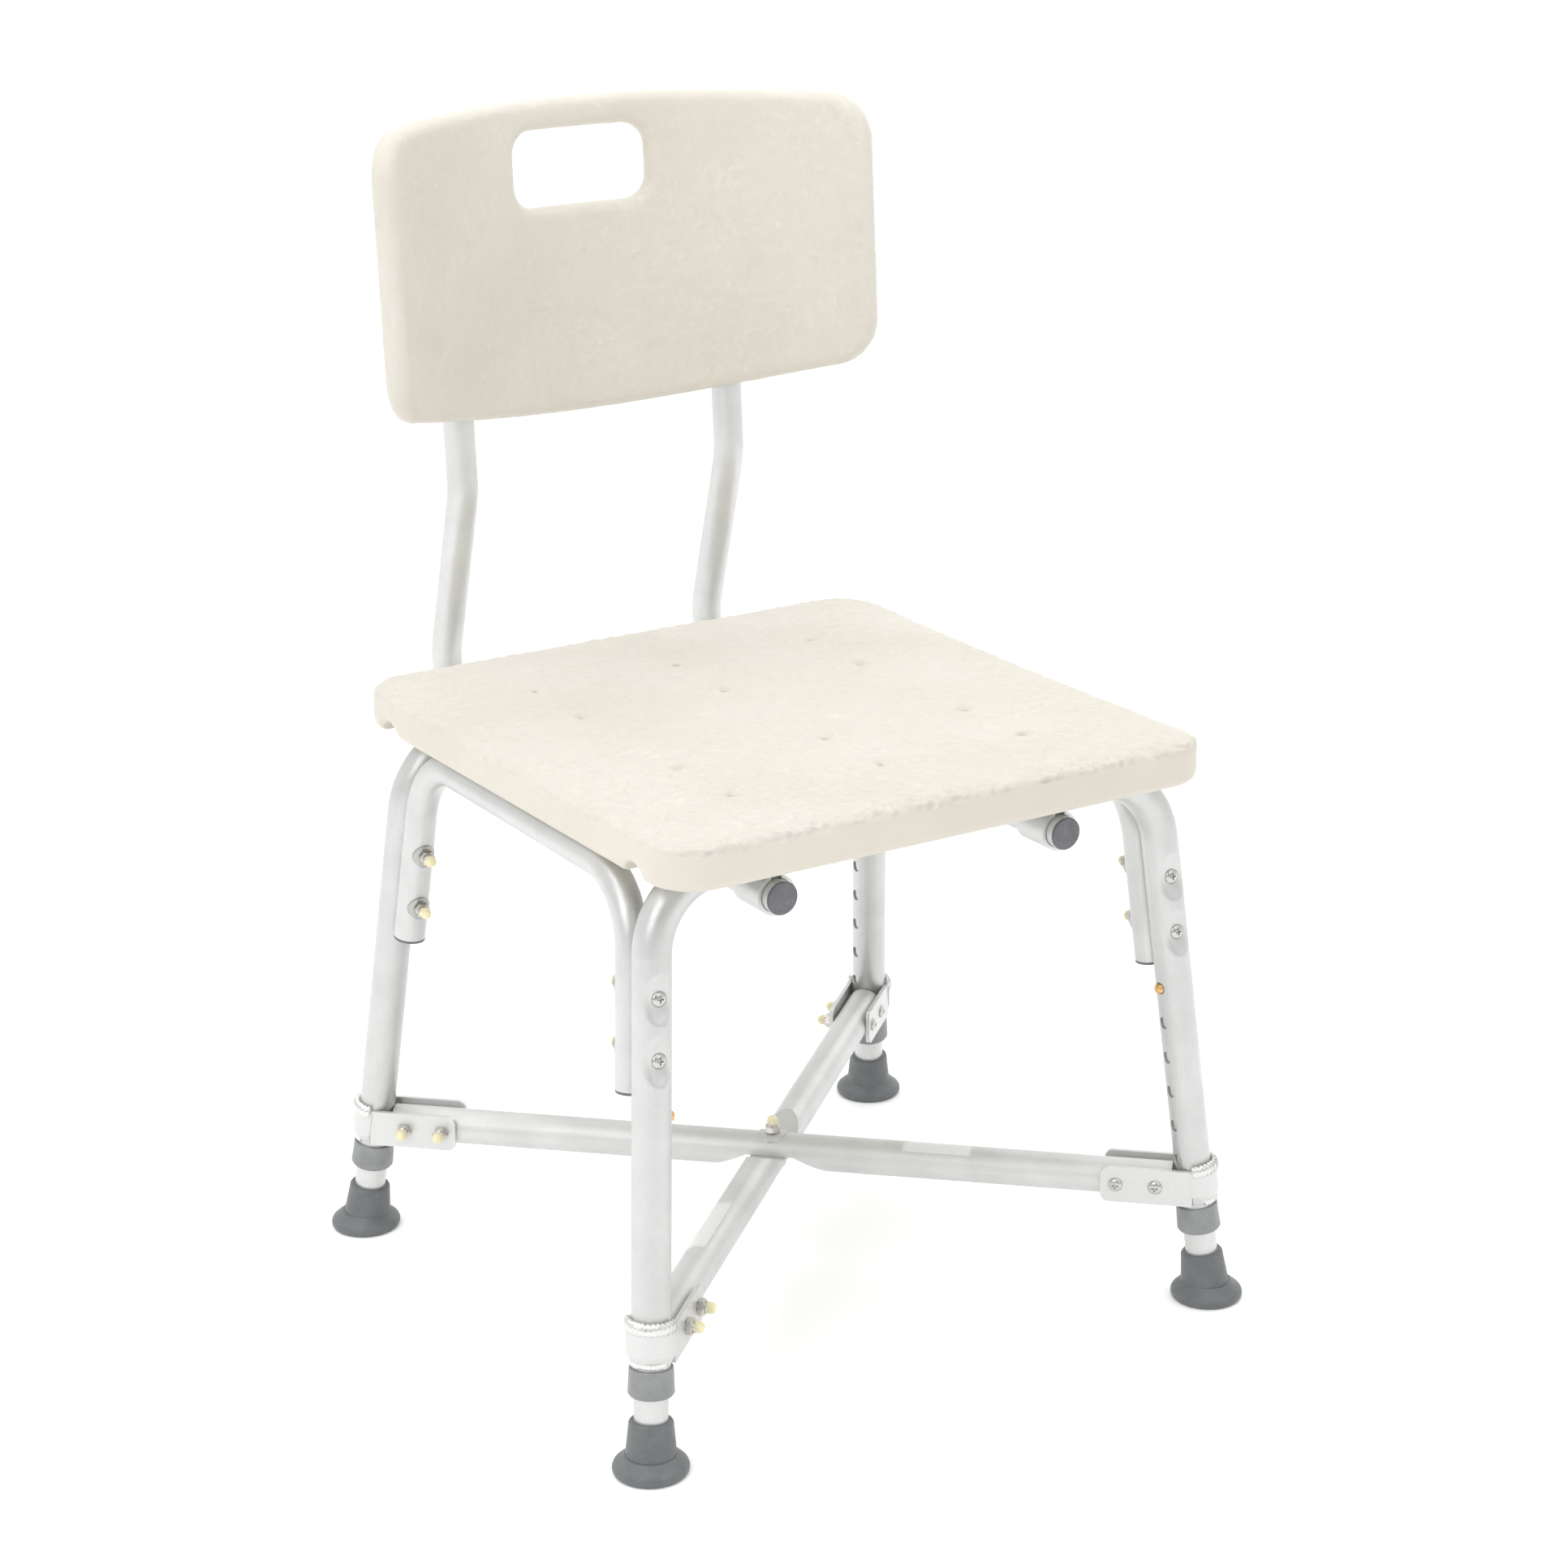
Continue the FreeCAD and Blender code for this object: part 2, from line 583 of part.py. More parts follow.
# Saddles: keyhole straps round the backrest tubes, necked above them and coped to the cross tubes
def saddle(x, cross_y, shift, hole):
    inner_r = THIN_R + SADDLE_FIT
    outer_r = inner_r + SADDLE_T
    half_neck = SADDLE_NECK / 2
    y = cross_y + shift - SADDLE_LENGTH / 2
    forward = V(0, 1, 0)
    body = cylinder(V(x, y, BACK_TUBE_Z), forward, outer_r, SADDLE_LENGTH)
    for edge in (x - half_neck - SADDLE_T, x + half_neck):
        body = body.fuse(Part.makeBox(SADDLE_T, SADDLE_LENGTH, 21.5, V(edge, y, BACK_TUBE_Z + 4)))
    body = body.cut(cylinder(V(x, y - 1, BACK_TUBE_Z), forward, inner_r, 40))
    body = body.cut(Part.makeBox(SADDLE_NECK, 40, 40, V(x - half_neck, y - 1, BACK_TUBE_Z)))
    body = body.cut(cylinder(V(x - 30, cross_y, CROSS_Z), V(1, 0, 0), LEG_R + TOUCH, 60))
    if hole:
        body = body.cut(cylinder(V(x, cross_y, BACK_TUBE_Z), V(0, 0, -1), HOLE_R, 30))
    return body.removeSplitter()


for side_name, x in (("left", -BACK_TUBE_X), ("right", BACK_TUBE_X)):
    export(f"saddle_front_{side_name}", saddle(x, FRONT_CROSS_Y, SADDLE_SHIFT, False))
    export(f"saddle_rear_{side_name}", saddle(x, REAR_CROSS_Y, -SADDLE_SHIFT, True))


# Backrest panel: a band curved in plan, crowned above, bowed below, with sockets behind for the tubes
def backrest_panel():
    half = math.radians(BACK_HALF_ANGLE)
    r_in, r_out = BACK_R - BACK_T / 2, BACK_R + BACK_T / 2
    centre_y = -BACK_R
    tall = 260.0

    def at(radius, angle, z):
        return V(radius * math.sin(angle), centre_y + radius * math.cos(angle), z)

    ring = Part.Wire([
        Part.Arc(at(r_out, -half, 0), at(r_out, 0, 0), at(r_out, half, 0)).toShape(),
        Part.makeLine(at(r_out, half, 0), at(r_in, half, 0)),
        Part.Arc(at(r_in, half, 0), at(r_in, 0, 0), at(r_in, -half, 0)).toShape(),
        Part.makeLine(at(r_in, -half, 0), at(r_out, -half, 0)),
    ])
    band = Part.Face(ring).extrude(V(0, 0, tall))
    band.translate(V(0, 0, -tall / 2))
    edge_x = BACK_R * math.sin(half)
    h = BACK_H / 2
    reach = 260.0
    crown_r = (edge_x ** 2 + BACK_CROWN ** 2) / (2 * BACK_CROWN)
    bow_r = (edge_x ** 2 + BACK_BOW ** 2) / (2 * BACK_BOW)
    crown = Part.makeCylinder(crown_r, 2 * reach, V(0, -reach, h + BACK_CROWN - crown_r), V(0, 1, 0))
    bow = Part.makeCylinder(bow_r, 2 * reach, V(0, -reach, bow_r - h - BACK_BOW), V(0, 1, 0))
    panel = band.common(crown).common(bow)
    corners = []
    for e in panel.Edges:
        box = e.BoundBox
        outside = min(abs(box.XMin), abs(box.XMax)) > r_in * math.sin(half) - 1
        if outside and box.ZLength < 5:
            corners.append(e)
    panel = panel.makeFillet(BACK_CORNER_R, corners)
    handle = rounded_rectangle(HANDLE_W, HANDLE_H, HANDLE_CORNER_R).extrude(V(0, 80, 0))
    handle.translate(V(0, -40, (HANDLE_Z - BACK_Z) / math.cos(RECLINE)))
    panel = panel.cut(handle)
    rim = [e for e in panel.Edges if on_radius(e, r_in, centre_y) or on_radius(e, r_out, centre_y)]
    return panel.makeFillet(BACK_ROUND, rim)


def on_radius(edge, radius, centre_y):
    for u in (0.1, 0.5, 0.9):
        p = edge.valueAt(edge.FirstParameter + u * (edge.LastParameter - edge.FirstParameter))
        if abs(math.hypot(p.x, p.y - centre_y) - radius) > 0.01:
            return False
    return True


panel = backrest_panel()
panel.rotate(V(0, 0, 0), V(1, 0, 0), -math.degrees(RECLINE))
panel.translate(V(0, BACK_Y, BACK_Z))
tops = [top + V(x, 0, 0) for x in (-BACK_TUBE_X, BACK_TUBE_X)]
for end in tops:
    panel = panel.fuse(cylinder(end - lean * BOSS_LENGTH, lean, BOSS_R, BOSS_LENGTH + BOSS_TOP))
screws = []
for end in tops:
    panel = panel.cut(cylinder(end - lean * 150, lean, THIN_R + TOUCH, 150.3))
    for distance in BACK_SCREWS:
        hole = end - lean * distance
        panel = panel.cut(cylinder(hole - behind * 15.3, behind, BACK_SCREW_R, 60))
        head = revolve([(0, 0), (4.4, 0), (4.4, 0.9), (3.2, 2.1), (0, 2.5)], hole + behind * BOSS_R, behind)
        screws.append(head.fuse(cylinder(hole - behind * 15, behind, BACK_SCREW_R, 15 + BOSS_R)))
export("backrest_panel", panel.removeSplitter())
export("backrest_screws", *screws)
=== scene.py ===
import math

import bpy
from mathutils import Matrix, Vector, noise


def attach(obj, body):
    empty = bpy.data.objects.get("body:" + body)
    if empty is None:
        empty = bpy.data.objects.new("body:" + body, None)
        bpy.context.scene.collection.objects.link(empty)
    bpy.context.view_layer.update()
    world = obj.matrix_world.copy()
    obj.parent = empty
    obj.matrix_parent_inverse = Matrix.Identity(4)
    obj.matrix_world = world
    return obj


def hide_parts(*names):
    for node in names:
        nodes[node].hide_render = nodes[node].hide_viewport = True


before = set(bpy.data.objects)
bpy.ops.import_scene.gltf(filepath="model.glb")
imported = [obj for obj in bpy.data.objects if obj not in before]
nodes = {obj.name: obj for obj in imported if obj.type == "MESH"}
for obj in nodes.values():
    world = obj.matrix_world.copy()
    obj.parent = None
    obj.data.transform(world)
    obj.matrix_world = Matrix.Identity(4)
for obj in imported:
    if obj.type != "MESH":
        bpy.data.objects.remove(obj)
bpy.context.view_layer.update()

# The frame's own numbers, in metres: the shift of its origin, the feet and how each leg leans as it rises.
# Each pair of BRACES is the two legs that one brace tube joins.
SHIFT_Y = -0.0199
LEG_R = 0.0127
BRACE_Z = 0.0863
LEGS = {
    "front_left": (Vector((-0.225, -0.2128 + SHIFT_Y, 0)), Vector((0.0805, 0.096, 1))),
    "front_right": (Vector((0.225, -0.2128 + SHIFT_Y, 0)), Vector((-0.0805, 0.096, 1))),
    "rear_left": (Vector((-0.2212, 0.2128 + SHIFT_Y, 0)), Vector((0.0805, -0.130, 1))),
    "rear_right": (Vector((0.2212, 0.2128 + SHIFT_Y, 0)), Vector((-0.0805, -0.130, 1))),
}
BRACES = (("rear_left", "front_right"), ("front_left", "rear_right"))


def leg_point(name, z):
    foot, slope = LEGS[name]
    return foot + slope * z


def link(obj):
    bpy.context.scene.collection.objects.link(obj)
    return obj


def mesh_object(name, verts, faces, smooth=True):
    mesh = bpy.data.meshes.new(name)
    mesh.from_pydata([tuple(v) for v in verts], [], faces)
    mesh.validate()
    mesh.update()
    if smooth:
        mesh.polygons.foreach_set("use_smooth", [True] * len(mesh.polygons))
    return link(bpy.data.objects.new(name, mesh))


# Materials
class Graph:
    """A few shorthands for building one material's nodes."""

    def __init__(self, name):
        self.material = bpy.data.materials.new(name)
        self.material.use_nodes = True
        self.tree = self.material.node_tree
        self.shader = next(n for n in self.tree.nodes if n.type == "BSDF_PRINCIPLED")
        self.coords = self.tree.nodes.new("ShaderNodeTexCoord").outputs["Object"]

    def node(self, kind, inputs=(), **settings):
        made = self.tree.nodes.new(kind)
        for key, value in settings.items():
            setattr(made, key, value)
        for key, value in dict(inputs).items():
            self.feed(made.inputs[key], value)
        return made

    def feed(self, socket, value):
        if isinstance(value, bpy.types.NodeSocket):
            self.tree.links.new(value, socket)
        else:
            socket.default_value = value

    def set(self, **values):
        for key, value in values.items():
            self.feed(self.shader.inputs[key.replace("_", " ")], value)

    def math(self, operation, a, b=0.0, c=0.0, clamp=False):
        made = self.node("ShaderNodeMath", {0: a, 1: b, 2: c}, operation=operation, use_clamp=clamp)
        return made.outputs[0]

    def scaled(self, scale, rotation=(0, 0, 0), source=None):
        inputs = {"Vector": source or self.coords, "Scale": scale, "Rotation": rotation}
        made = self.node("ShaderNodeMapping", inputs)
        return made.outputs[0]

    def noise(self, scale, detail=3.0, roughness=0.5, source=None):
        inputs = {"Vector": source or self.coords, "Scale": scale, "Detail": detail, "Roughness": roughness}
        made = self.node("ShaderNodeTexNoise", inputs)
        return made.outputs["Fac"]

    def ramp(self, value, low, high, out_low=0.0, out_high=1.0):
        inputs = {"Value": value, "From Min": low, "From Max": high, "To Min": out_low, "To Max": out_high}
        made = self.node("ShaderNodeMapRange", inputs, interpolation_type="SMOOTHSTEP")
        return made.outputs["Result"]

    def mix(self, factor, a, b):
        made = self.node("ShaderNodeMix", data_type="RGBA")
        self.feed(made.inputs[0], factor)
        self.feed(made.inputs[6], a)
        self.feed(made.inputs[7], b)
        return made.outputs[2]

    def bump(self, height, distance, strength=1.0, normal=None):
        inputs = {"Height": height, "Distance": distance, "Strength": strength}
        if normal is not None:
            inputs["Normal"] = normal
        return self.node("ShaderNodeBump", inputs).outputs["Normal"]


def rgba(r, g, b):
    return (r, g, b, 1.0)


def moulded_plastic(name, grain_distance):
    """Off-white blow-moulded plastic: pebbled where the mesh's grain attribute is 1, satin elsewhere; painted shade
    darkens the satin faces and the grain's creases.
    """
    g = Graph(name)
    wobble = g.node("ShaderNodeTexNoise", {"Vector": g.coords, "Scale": 190.0, "Detail": 2.0}).outputs["Color"]
    centred = g.node("ShaderNodeVectorMath", {0: wobble, 1: (0.5, 0.5, 0.5)}, operation="SUBTRACT").outputs[0]
    shifted = g.node("ShaderNodeVectorMath", {0: centred, 1: wobble, 2: g.coords}, operation="MULTIPLY_ADD").outputs[0]
    pebble = g.node("ShaderNodeTexVoronoi", {"Vector": shifted, "Scale": 250.0, "Smoothness": 0.6},
                    feature="SMOOTH_F1").outputs["Distance"]
    crease = g.ramp(pebble, 0.15, 0.75, 1.0, 0.0)
    fine = g.noise(900.0, 3.0, 0.6)
    wrinkle = g.math("ABSOLUTE", g.math("SUBTRACT", g.noise(150.0, 2.0, 0.5, shifted), 0.5))
    height = g.math("ADD", g.math("MULTIPLY", crease, 0.55), g.math("MULTIPLY", wrinkle, 2.6))
    height = g.math("ADD", height, g.math("MULTIPLY", fine, 0.06))
    height = g.math("SUBTRACT", height, 0.62)
    mask = g.node("ShaderNodeAttribute", attribute_name="grain").outputs["Fac"]
    depth = g.math("MULTIPLY_ADD", mask, 0.88, 0.12)
    cloud = g.ramp(g.noise(9.0, 4.0), 0.35, 0.68)
    tint = g.mix(cloud, rgba(0.700, 0.664, 0.592), rgba(0.730, 0.700, 0.634))
    # Painted shade: where the grain attribute is 0 (sides, edges, the backrest's back) the same plastic gets this
    # darker colour.
    painted_shade_tint = g.mix(cloud, rgba(0.600, 0.562, 0.490), rgba(0.625, 0.590, 0.518))
    tint = g.mix(mask, painted_shade_tint, tint)
    # Painted shade in the creases: the pebble creases and wrinkle troughs of the grained faces are mixed towards a
    # darker cream.
    furrow = g.ramp(wrinkle, 0.0, 0.10, 1.0, 0.0)
    painted_crease_shade = g.math("MULTIPLY", g.math("MAXIMUM", g.math("SUBTRACT", 1.0, crease), furrow),
                    g.math("MULTIPLY", mask, 0.12))
    colour = g.mix(painted_crease_shade, tint, rgba(0.67, 0.63, 0.53))
    speck = g.ramp(g.noise(1500.0, 1.0), 0.70, 0.78, 0.0, 0.14)
    colour = g.mix(speck, colour, rgba(0.65, 0.61, 0.50))
    sheen = g.ramp(g.noise(120.0), 0.3, 0.7, 0.40, 0.52)
    g.set(Base_Color=colour, Roughness=g.math("ADD", sheen, g.math("MULTIPLY", crease, -0.05)),
          IOR=1.5, Subsurface_Weight=0.12, Subsurface_Radius=(0.004, 0.003, 0.002), Subsurface_Scale=1.0,
          Normal=g.bump(g.math("MULTIPLY", height, depth), grain_distance))
    return g.material


def tube_metal(name, along, upper=None, change_z=0.0, painted_light_level=1.0, roughness=0.40):
    """Satin anodised aluminium with fine drawing lines along the tube. Above change_z they run along upper.
    painted_light_level scales the base colour per part: painted shade below 1, painted light above 1.
    """
    g = Graph(name)

    def lines(direction):
        turn = Vector(direction).normalized().rotation_difference(Vector((0, 0, 1))).to_euler()
        turned = g.node("ShaderNodeMapping", {"Vector": g.coords, "Rotation": tuple(turn)}).outputs[0]
        return g.noise(1.0, 4.0, 0.65, g.scaled((1500.0, 1500.0, 9.0), source=turned))

    streak = lines(along)
    if upper:
        height = g.node("ShaderNodeSeparateXYZ", {0: g.coords}).outputs["Z"]
        blend = g.ramp(height, change_z - 0.012, change_z + 0.012)
        streak = g.math("ADD", g.math("MULTIPLY", streak, g.math("SUBTRACT", 1.0, blend)),
                        g.math("MULTIPLY", lines(upper), blend))
    cloud = g.noise(26.0, 4.0, 0.6)
    smudge = g.ramp(g.noise(70.0, 5.0, 0.7), 0.55, 0.75)
    fine = g.noise(2400.0, 2.0, 0.6)
    base = g.mix(g.ramp(cloud, 0.3, 0.7), rgba(0.605 * painted_light_level, 0.612 * painted_light_level, 0.605 * painted_light_level),
                 rgba(0.665 * painted_light_level, 0.672 * painted_light_level, 0.665 * painted_light_level))
    base = g.mix(g.math("MULTIPLY", g.ramp(streak, 0.35, 0.7), 0.18), base,
                 rgba(0.53 * painted_light_level, 0.537 * painted_light_level, 0.535 * painted_light_level))
    rough = g.math("ADD", g.ramp(streak, 0.3, 0.7, roughness - 0.05, roughness + 0.06),
                   g.math("MULTIPLY", smudge, 0.05))
    g.set(Base_Color=base, Metallic=0.62, Roughness=rough, Specular_IOR_Level=0.3,
          Normal=g.bump(g.math("ADD", streak, g.math("MULTIPLY", fine, 0.5)), 0.00003, 0.5))
    return g.material


def cast_metal(name, colour, roughness, grain, distance, metallic=1.0):
    """Pressed, welded or plated metal with an even, fine surface."""
    g = Graph(name)
    r, gr, b = colour
    cloud = g.ramp(g.noise(140.0, 4.0, 0.6), 0.3, 0.7)
    base = g.mix(cloud, rgba(r * 0.95, gr * 0.95, b * 0.95), rgba(r, gr, b))
    spots = g.ramp(g.noise(420.0, 2.0), 0.62, 0.72, 0.0, 0.14)
    base = g.mix(spots, base, rgba(r * 0.78, gr * 0.77, b * 0.75))
    g.set(Base_Color=base, Metallic=metallic,
          Roughness=g.ramp(cloud, 0.0, 1.0, roughness - 0.05, roughness + 0.07),
          Normal=g.bump(g.noise(grain, 4.0, 0.65), distance, 0.6))
    return g.material


def dark_polymer(name, colour, roughness, grain, distance, bloom=0.25):
    """Grey rubber or plastic with a slight pale bloom, moulding texture and handling marks."""
    g = Graph(name)
    r, gr, b = colour
    cloud = g.ramp(g.noise(60.0, 5.0, 0.65), 0.35, 0.7)
    base = g.mix(cloud, rgba(r, gr, b), rgba(r * 1.22, gr * 1.21, b * 1.2))
    dust = g.math("MULTIPLY", g.ramp(g.noise(330.0, 4.0, 0.7), 0.52, 0.74), bloom)
    base = g.mix(dust, base, rgba(r * 1.7 + 0.02, gr * 1.7 + 0.02, b * 1.68 + 0.02))
    scuff = g.noise(1.0, 4.0, 0.7, g.scaled((380.0, 380.0, 60.0)))
    height = g.math("ADD", g.noise(grain, 3.0, 0.6), g.math("MULTIPLY", scuff, 0.4))
    g.set(Base_Color=base, Roughness=g.ramp(scuff, 0.3, 0.75, roughness - 0.06, roughness + 0.1), IOR=1.48,
          Normal=g.bump(height, distance, 0.7))
    return g.material


def clear_cap(name):
    """Ivory thread cap plastic that light enters a little way."""
    g = Graph(name)
    cloud = g.ramp(g.noise(300.0, 3.0), 0.3, 0.7)
    g.set(Base_Color=g.mix(cloud, rgba(0.76, 0.68, 0.42), rgba(0.84, 0.77, 0.53)), Roughness=0.28, IOR=1.5,
          Subsurface_Weight=0.5, Subsurface_Radius=(0.004, 0.003, 0.001), Subsurface_Scale=1.0,
          Normal=g.bump(g.noise(700.0, 3.0), 0.00008, 0.5))
    return g.material


def paper(name):
    """Plain coated label paper."""
    g = Graph(name)
    fibre = g.noise(1.0, 4.0, 0.7, g.scaled((900.0, 500.0, 900.0)))
    g.set(Base_Color=g.mix(g.ramp(fibre, 0.3, 0.7), rgba(0.72, 0.73, 0.72), rgba(0.78, 0.785, 0.775)),
          Roughness=g.ramp(fibre, 0.3, 0.7, 0.34, 0.48), Normal=g.bump(fibre, 0.00003, 0.5))
    return g.material


UP = (0, 0, 1)
PLASTIC = moulded_plastic("moulded_plastic", 0.00010)
SEAT_PLASTIC = moulded_plastic("seat_plastic", 0.00013)
# One aluminium, given a darker or lighter base colour per part: painted shade on the leg frames, side rails and leg
# ends, painted light on the braces.
FRAME_METAL = tube_metal("frame_metal", UP, (1, 0, 0), 0.375, painted_light_level=0.90, roughness=0.36)
RAIL_METAL = tube_metal("rail_metal", UP, (0, 1, 0), 0.360, painted_light_level=0.93, roughness=0.36)
BACK_METAL = tube_metal("back_metal", (0, 1, 0), UP, 0.385)
LEG_END_METAL = tube_metal("leg_end_metal", UP, painted_light_level=0.97, roughness=0.32)
PRESSED = cast_metal("pressed_metal", (0.66, 0.666, 0.66), 0.42, 900.0, 0.00005, 0.62)
WELD = cast_metal("weld_metal", (0.70, 0.70, 0.69), 0.27, 700.0, 0.00012, 0.8)
NUT_ZINC = cast_metal("nut_zinc", (0.60, 0.575, 0.53), 0.17, 1400.0, 0.00003)
BOLT_ZINC = cast_metal("bolt_zinc", (0.54, 0.54, 0.52), 0.26, 1200.0, 0.00004)
WASHER_ZINC = cast_metal("washer_zinc", (0.44, 0.445, 0.42), 0.36, 900.0, 0.00006)
BRASS = cast_metal("button_brass", (0.72, 0.45, 0.20), 0.28, 1200.0, 0.00003)
SPRING = cast_metal("spring_steel", (0.55, 0.56, 0.58), 0.30, 1200.0, 0.00003)
RUBBER = dark_polymer("tip_rubber", (0.118, 0.127, 0.131), 0.46, 800.0, 0.00012)
COLLAR = dark_polymer("collar_plastic", (0.222, 0.230, 0.235), 0.40, 900.0, 0.00006, 0.2)
PLUG = dark_polymer("plug_plastic", (0.112, 0.116, 0.130), 0.42, 700.0, 0.00010, 0.8)
CAP = clear_cap("thread_cap")
LABEL = paper("label_paper")


def paint(obj, material):
    obj.data.materials.clear()
    obj.data.materials.append(material)


def brace_direction(pair):
    a, b = (leg_point(name, BRACE_Z) for name in pair)
    return (b - a).normalized()


for name, obj in nodes.items():
    if name in ("front_leg_frame", "rear_leg_frame"):
        paint(obj, FRAME_METAL)
    elif name.startswith("side_rail_plugs") or name == "backrest_tube_plugs":
        paint(obj, PLUG)
    elif name.startswith("side_rail"):
        paint(obj, RAIL_METAL)
    elif name.startswith("backrest_tube"):
        paint(obj, BACK_METAL)
    elif name.startswith("brace_tube"):
        # Braces: painted light, a base colour slightly lighter than the plain aluminium.
        paint(obj, tube_metal(name + "_metal", brace_direction(BRACES[0 if name.endswith("upper") else 1]),
                              painted_light_level=1.02, roughness=0.50))
    elif name.startswith("leg_extension"):
        paint(obj, LEG_END_METAL)
    elif name.startswith(("brace_bracket", "saddle")):
        paint(obj, PRESSED)
    elif name.startswith("leg_tip"):
        paint(obj, RUBBER)
    elif name == "leg_collars":
        paint(obj, COLLAR)
    elif "spring" in name:
        paint(obj, SPRING)
    elif "button" in name:
        paint(obj, BRASS)
    elif "thread_cap" in name:
        paint(obj, CAP)
    elif name == "frame_washers":
        paint(obj, WASHER_ZINC)
    elif name == "centre_washers":
        paint(obj, PRESSED)
    elif "nut" in name:
        paint(obj, NUT_ZINC)
    else:
        paint(obj, BOLT_ZINC)


# Seat and backrest: softened mouldings with real grain relief where the mould is textured.
# The relief is strongest near the seat's front edge.
PEBBLE_SCALE = 165.0
WRINKLE_SCALE = 430.0
FRONT_EDGE_START = 0.222
FRONT_EDGE_END = 0.240


def smoothstep(x, low, high):
    t = min(1.0, max(0.0, (x - low) / (high - low)))
    return t * t * (3 - 2 * t)


def moulding(node, name, voxel, mask_of, relief):
    """A remeshed copy of a CAD node with its grain mask stored and its grain raised along the normals. The mask also
    sets where the material paints shade: darker where it is 0.
    """
    source = nodes[node]
    copy = link(bpy.data.objects.new(name + "_source", source.data.copy()))
    remesh = copy.modifiers.new("remesh", "REMESH")
    remesh.mode = "VOXEL"
    remesh.voxel_size = voxel
    remesh.use_smooth_shade = True
    smooth = copy.modifiers.new("smooth", "SMOOTH")
    smooth.factor = 0.5
    smooth.iterations = 3
    evaluated = copy.evaluated_get(bpy.context.evaluated_depsgraph_get())
    mesh = bpy.data.meshes.new_from_object(evaluated)
    bpy.data.objects.remove(copy)
    mesh.name = name
    grain = mesh.attributes.new("grain", "FLOAT", "POINT")
    values = []
    moved = []
    for v in mesh.vertices:
        mask = mask_of(v.co, v.normal)
        values.append(mask)
        pebble = 1.7 * abs(noise.noise(v.co * PEBBLE_SCALE))
        pebble += 0.3 * noise.noise(v.co * WRINKLE_SCALE + Vector((7, 3, 1)))
        boost = 0.4 + 0.6 * smoothstep(-v.co.y, FRONT_EDGE_START, FRONT_EDGE_END)
        moved.append(v.co + v.normal * (relief * mask * boost * (pebble - 0.4)))
    grain.data.foreach_set("value", values)
    mesh.vertices.foreach_set("co", [c for p in moved for c in p])
    mesh.update()
    made = link(bpy.data.objects.new(name, mesh))
    mesh.polygons.foreach_set("use_smooth", [True] * len(mesh.polygons))
    return made


def seat_mask(p, n):
    """1 on the seat's top, falling to 0 round its edge."""
    return smoothstep(n.z, 0.12, 0.55) * smoothstep(p.z, 0.404, 0.410)


def back_mask(_, n):
    """1 on the backrest's front face, falling to 0 round its edge."""
    return smoothstep(-n.y + abs(n.x) * 0.5, 0.0, 0.45)


seat = moulding("seat_panel", "seat_moulding", 0.0018, seat_mask, 0.0022)
paint(seat, SEAT_PLASTIC)
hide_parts("seat_panel")
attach(seat, "frame")

back = moulding("backrest_panel", "backrest_moulding", 0.0016, back_mask, 0.0009)
paint(back, PLASTIC)
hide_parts("backrest_panel")
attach(back, "backrest")


# Weld beads where each bracket's strap wraps its leg: overlapping crescents above, a flatter fillet below
def weld_bead(name, centre, axis, outward, sweep_deg, reach, size, pitch, ripple):
    side = axis.cross(outward).normalized()
    radius = LEG_R + reach
    deep, tall = size
    steps = 300
    around = 14
    verts, faces = [], []
    seed = Vector((centre.x * 31, centre.y * 17, centre.z * 53))
    for i in range(steps + 1):
        t = i / steps
        angle = math.radians(sweep_deg) * (2 * t - 1)
        direction = outward * math.cos(angle) + side * math.sin(angle)
        arc = radius * angle
        drift = 0.0005 * noise.noise(seed + Vector((arc * 160, 5, 0)))
        end = 0.25 + 0.75 * smoothstep(min(t, 1 - t), 0.0, 0.04)
        for k in range(around):
            a = 2 * math.pi * k / around
            uneven = 0.3 * noise.noise(seed + Vector((arc * 90, 9, 0)))
            phase = (arc / pitch + 0.55 * math.sin(a) ** 2 + uneven) % 1.0
            rough = 0.07 * noise.noise(seed + Vector((arc * 300, k * 0.8, 0)))
            swell = end * (1.0 - ripple * phase ** 1.6 + rough)
            out = direction * (radius + deep * swell * math.cos(a))
            verts.append(centre + out + axis * (drift + tall * swell * math.sin(a)))
    for i in range(steps):
        for k in range(around):
            j = (k + 1) % around
            faces.append((i * around + k, i * around + j, (i + 1) * around + j, (i + 1) * around + k))
    faces.append(tuple(range(around))[::-1])
    faces.append(tuple(steps * around + k for k in range(around)))
    bead = mesh_object(name, verts, faces)
    paint(bead, WELD)
    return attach(bead, "frame")


for pair in BRACES:
    along = brace_direction(pair)
    for leg, inward in ((pair[0], along), (pair[1], -along)):
        foot, slope = LEGS[leg]
        axis = slope.normalized()
        outward = (-inward - axis * (-inward).dot(axis)).normalized()
        base = leg_point(leg, BRACE_Z)
        weld_bead("weld_top_" + leg, base + axis * 0.0124, axis, outward, sweep_deg=92, reach=0.0021,
                  size=(0.0031, 0.0050), pitch=0.0031, ripple=0.20)
        weld_bead("weld_bottom_" + leg, base - axis * 0.0112, axis, outward, sweep_deg=62, reach=0.0008,
                  size=(0.0017, 0.0034), pitch=0.0026, ripple=0.16)


# Blank labels on the brace tubes
LABEL_THICKNESS = 0.00012


